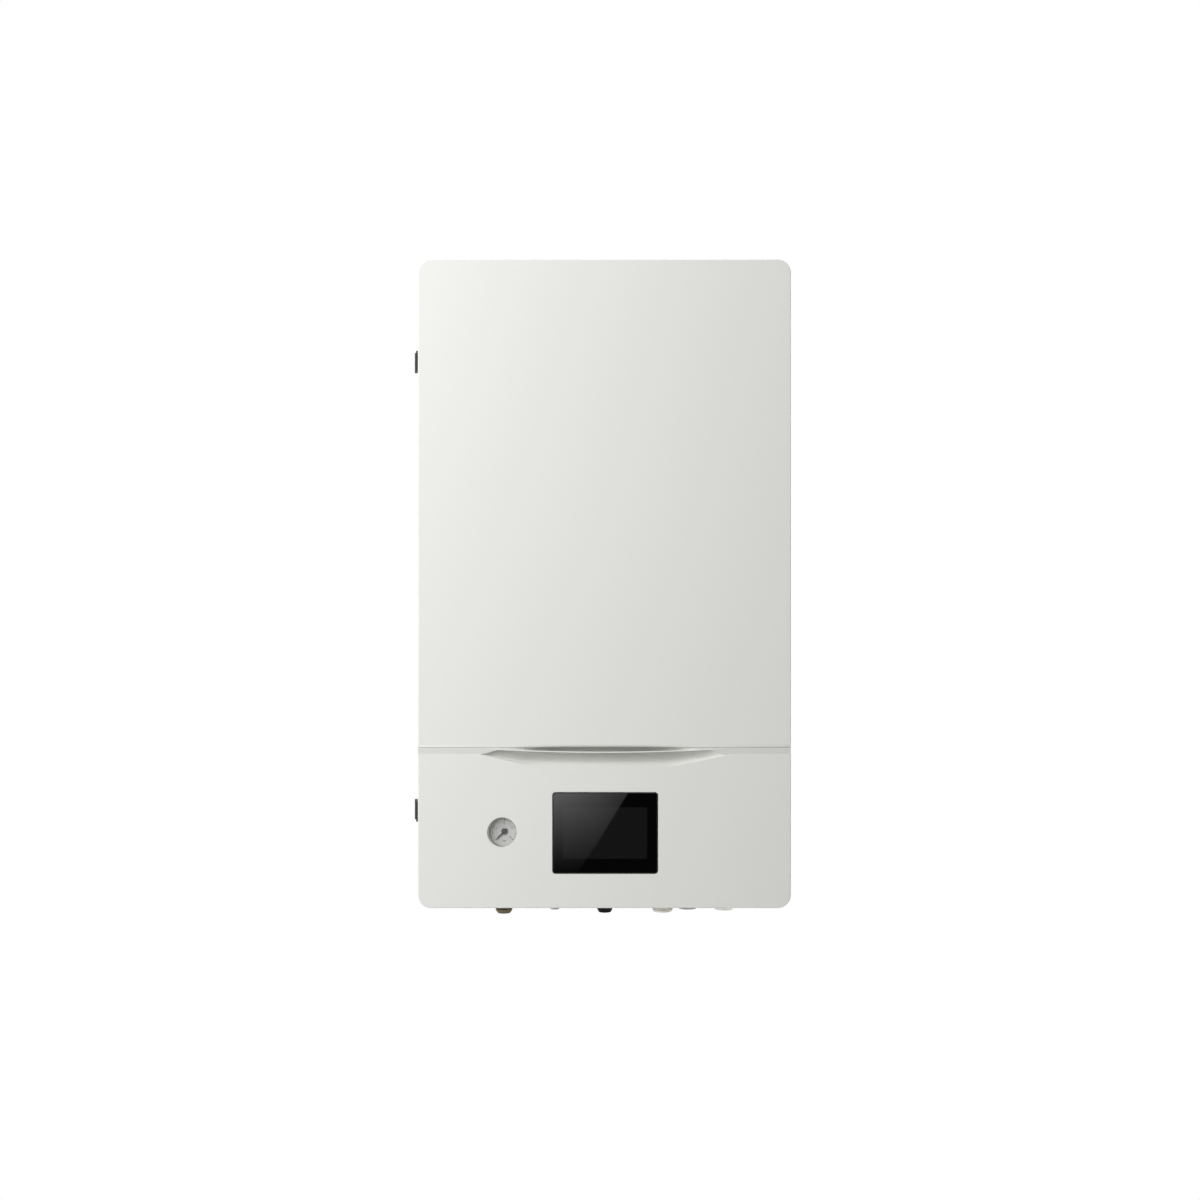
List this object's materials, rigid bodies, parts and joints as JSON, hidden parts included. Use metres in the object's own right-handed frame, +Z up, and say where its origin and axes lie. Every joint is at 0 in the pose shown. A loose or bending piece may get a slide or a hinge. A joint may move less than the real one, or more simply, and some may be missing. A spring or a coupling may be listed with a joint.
{
  "type": "heat pump indoor unit",
  "caption": "Wall-hung indoor hydronic unit of a split heat pump: white cabinet with a hinged front, touch screen, pressure gauge and pipe connections below",
  "frame": {"origin": "midway between the two wall bolts, on the wall plane", "axes": "+X to the right seen from the front, +Y into the wall, +Z up"},
  "size_m": [0.4681, 0.32, 0.8347],
  "materials": {
    "white_paint": "fine satin powder coat, warm white",
    "white_plastic": "satin moulded plastic, warm white",
    "zinc_steel": "galvanised sheet with a faint spangle",
    "bright_steel": "ground stainless steel",
    "black_plastic": "fine-grained black moulding",
    "black_glass": "black-printed glass, high gloss",
    "screen": "dark liquid crystal panel, switched off",
    "clear_lens": "clear lens",
    "dial_white": "printed dial, light grey-white",
    "gauge_metal": "spun case, dull grey",
    "copper": "drawn copper tube, lightly dulled",
    "brass": "machined brass, dulled",
    "grey_fitting": "nickel-plated brass",
    "grey_plastic": "light grey moulding",
    "foam": "closed-cell foam",
    "rubber": "soft black gasket foam",
    "cable_sheath": "black cable sheath, slightly ribbed",
    "board_green": "solder-masked circuit board with parts",
    "red_enamel": "red enamel",
    "red_plastic": "red moulding",
    "cast_black": "cataphoresis-coated casting",
    "motor_green": "dark green enamel"
  },
  "bodies": {
    "cabinet": {"wall_rail": "zinc_steel", "back_panel": "zinc_steel", "left_side_panel": "white_paint", "right_side_panel": "white_paint", "top_panel": "white_paint", "bottom_plate": "white_paint", "door_seal": "rubber", "cabinet_screws": "bright_steel", "hinge_leaves": "black_plastic", "hinge_pins": "bright_steel", "magnet_catches": "black_plastic", "instrument_bracket": "zinc_steel", "display_housing": "black_plastic", "display_glass": "black_glass", "display_screen": "screen", "gauge_case": "gauge_metal", "gauge_dial": "dial_white", "gauge_glass": "clear_lens", "gauge_tube": "copper", "control_box": "zinc_steel", "control_box_cover": "zinc_steel", "main_board": "board_green", "terminal_block": "grey_plastic", "contactors": "grey_plastic", "wiring": "cable_sheath", "thermal_cutout": "black_plastic", "cable_gland": "black_plastic", "component_brackets": "zinc_steel", "lock_nuts": "brass", "plate_heat_exchanger": "bright_steel", "gas_pipe": "copper", "liquid_pipe": "copper", "flare_unions": "brass", "water_unions": "grey_fitting", "strainer": "brass", "flow_sensor": "black_plastic", "return_tee": "brass", "pump_housing": "cast_black", "pump_motor": "motor_green", "pump_pipe": "copper", "exchanger_pipe": "copper", "supply_pipe": "copper", "heater_vessel": "bright_steel", "heater_element": "bright_steel", "air_vent": "brass", "relief_valve": "brass", "drain_pipe": "grey_plastic", "expansion_vessel": "red_enamel", "vessel_pipe": "copper"},
    "door": {"upper_front_panel": "white_paint", "lower_fascia": "white_plastic", "grip_lip": "white_plastic", "door_frame": "zinc_steel", "door_insulation": "foam", "door_hinge_leaves": "black_plastic", "strike_plates": "bright_steel"},
    "pointer": {"gauge_needle": "black_plastic"},
    "rotor": {"pump_rotor": "bright_steel"},
    "button": {"reset_button": "red_plastic"},
    "knob": {"relief_knob": "red_plastic"}
  },
  "joints": [
    {"name": "door_hinge", "type": "hinge", "parent": "cabinet", "child": "door", "pos_m": [-0.2333, -0.295, -0.34], "axis": [0, 0, -1], "range_deg": [0, 110]},
    {"name": "gauge_pointer", "type": "hinge", "parent": "cabinet", "child": "pointer", "pos_m": [-0.1238, -0.312, -0.6463], "axis": [0, 1, 0], "range_deg": [0, 270], "stiffness_Nm_per_rad": 0.002},
    {"name": "pump_spin", "type": "hinge", "parent": "cabinet", "child": "rotor", "pos_m": [0.158, -0.2, -0.506], "axis": [0, 1, 0], "continuous": true},
    {"name": "reset_press", "type": "slide", "parent": "cabinet", "child": "button", "axis": [0, 1, 0], "range_m": [0, 0.0015], "stiffness_N_per_m": 300, "springref_m": -0.002},
    {"name": "relief_turn", "type": "hinge", "parent": "cabinet", "child": "knob", "pos_m": [0.11, -0.2, -0.588], "axis": [0, -1, 0], "range_deg": [0, 90]}
  ]
}
